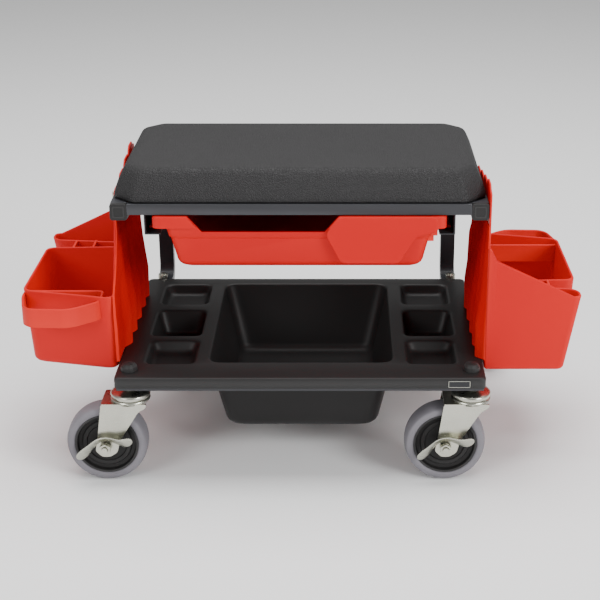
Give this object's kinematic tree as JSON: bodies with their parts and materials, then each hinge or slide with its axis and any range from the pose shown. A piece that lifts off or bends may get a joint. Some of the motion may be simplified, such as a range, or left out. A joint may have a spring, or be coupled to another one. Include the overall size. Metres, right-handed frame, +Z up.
{
  "type": "rolling utility seat",
  "caption": "Rolling garage seat: padded top on C-shaped legs over a parts deck, with a sliding drawer, side tool bins and swivel castors with foot brakes.",
  "frame": {"origin": "centre of the bounding box on the floor under the castors", "axes": "+X to the right across the seat, +Y to the back, +Z up; the drawer opens towards -Y"},
  "size_m": [0.686, 0.3968, 0.385],
  "materials": {
    "pad": "black moulded foam skin with a pebble grain",
    "board": "raw plywood",
    "black_steel": "satin black powder coat",
    "black_plastic": "satin black moulding",
    "red_plastic": "satin red polypropylene",
    "zinc": "bright zinc plate",
    "grey_tyre": "grey thermoplastic rubber"
  },
  "bodies": {
    "base": {"seat_pad": "pad", "seat_board": "board", "seat_front_bar": "black_steel", "seat_rear_bar": "black_steel", "seat_side_tube_left": "black_steel", "seat_side_tube_right": "black_steel", "leg_left": "black_steel", "leg_right": "black_steel", "drawer_rail_left": "black_steel", "drawer_rail_right": "black_steel", "base_front_member": "black_steel", "base_rear_member": "black_steel", "end_cap_front_left": "black_plastic", "end_cap_front_right": "black_plastic", "end_cap_rear_left": "black_plastic", "end_cap_rear_right": "black_plastic", "deck_tray": "black_plastic", "nut_cover_left": "black_plastic", "nut_cover_right": "black_plastic", "side_bin_left": "red_plastic", "side_bin_right": "red_plastic", "bin_screw_left_1": "zinc", "bin_screw_left_2": "zinc", "bin_screw_right_1": "zinc", "bin_screw_right_2": "zinc", "castor_front_left_king_bolt": "zinc", "castor_front_left_king_nut": "zinc", "castor_front_left_top_race": "zinc", "castor_front_right_king_bolt": "zinc", "castor_front_right_king_nut": "zinc", "castor_front_right_top_race": "zinc", "castor_rear_left_king_bolt": "zinc", "castor_rear_left_king_nut": "zinc", "castor_rear_left_top_race": "zinc", "castor_rear_right_king_bolt": "zinc", "castor_rear_right_king_nut": "zinc", "castor_rear_right_top_race": "zinc"},
    "castor_front_left_swivel": {"castor_front_left_fork": "zinc", "castor_front_left_axle_bolt": "zinc", "castor_front_left_axle_nut": "zinc"},
    "castor_front_left_wheel": {"castor_front_left_hub": "black_plastic", "castor_front_left_tyre": "grey_tyre"},
    "castor_front_left_brake": {"castor_front_left_brake_pedal": "zinc"},
    "castor_front_right_swivel": {"castor_front_right_fork": "zinc", "castor_front_right_axle_bolt": "zinc", "castor_front_right_axle_nut": "zinc"},
    "castor_front_right_wheel": {"castor_front_right_hub": "black_plastic", "castor_front_right_tyre": "grey_tyre"},
    "castor_front_right_brake": {"castor_front_right_brake_pedal": "zinc"},
    "castor_rear_left_swivel": {"castor_rear_left_fork": "zinc", "castor_rear_left_axle_bolt": "zinc", "castor_rear_left_axle_nut": "zinc"},
    "castor_rear_left_wheel": {"castor_rear_left_hub": "black_plastic", "castor_rear_left_tyre": "grey_tyre"},
    "castor_rear_right_swivel": {"castor_rear_right_fork": "zinc", "castor_rear_right_axle_bolt": "zinc", "castor_rear_right_axle_nut": "zinc"},
    "castor_rear_right_wheel": {"castor_rear_right_hub": "black_plastic", "castor_rear_right_tyre": "grey_tyre"},
    "drawer": {"drawer": "red_plastic"}
  },
  "joints": [
    {"name": "drawer_slide", "type": "slide", "parent": "base", "child": "drawer", "axis": [0, -1, 0], "range_m": [0, 0.15]},
    {"name": "castor_front_left_swivel_turn", "type": "hinge", "parent": "base", "child": "castor_front_left_swivel", "pos_m": [-0.209, -0.1616, 0.108], "axis": [0, 0, 1], "continuous": true},
    {"name": "castor_front_left_wheel_spin", "type": "hinge", "parent": "castor_front_left_swivel", "child": "castor_front_left_wheel", "pos_m": [-0.24, -0.1616, 0.05], "axis": [0, 1, 0], "continuous": true},
    {"name": "castor_front_left_brake_press", "type": "hinge", "parent": "castor_front_left_swivel", "child": "castor_front_left_brake", "pos_m": [-0.24, -0.1616, 0.05], "axis": [0, 1, 0], "range_deg": [0, 20]},
    {"name": "castor_front_right_swivel_turn", "type": "hinge", "parent": "base", "child": "castor_front_right_swivel", "pos_m": [0.209, -0.1616, 0.108], "axis": [0, 0, 1], "continuous": true},
    {"name": "castor_front_right_wheel_spin", "type": "hinge", "parent": "castor_front_right_swivel", "child": "castor_front_right_wheel", "pos_m": [0.178, -0.1616, 0.05], "axis": [0, 1, 0], "continuous": true},
    {"name": "castor_front_right_brake_press", "type": "hinge", "parent": "castor_front_right_swivel", "child": "castor_front_right_brake", "pos_m": [0.178, -0.1616, 0.05], "axis": [0, 1, 0], "range_deg": [0, 20]},
    {"name": "castor_rear_left_swivel_turn", "type": "hinge", "parent": "base", "child": "castor_rear_left_swivel", "pos_m": [-0.206, 0.1614, 0.108], "axis": [0, 0, 1], "continuous": true},
    {"name": "castor_rear_left_wheel_spin", "type": "hinge", "parent": "castor_rear_left_swivel", "child": "castor_rear_left_wheel", "pos_m": [-0.175, 0.1614, 0.05], "axis": [0, 1, 0], "continuous": true},
    {"name": "castor_rear_right_swivel_turn", "type": "hinge", "parent": "base", "child": "castor_rear_right_swivel", "pos_m": [0.206, 0.1614, 0.108], "axis": [0, 0, 1], "continuous": true},
    {"name": "castor_rear_right_wheel_spin", "type": "hinge", "parent": "castor_rear_right_swivel", "child": "castor_rear_right_wheel", "pos_m": [0.237, 0.1614, 0.05], "axis": [0, 1, 0], "continuous": true}
  ]
}
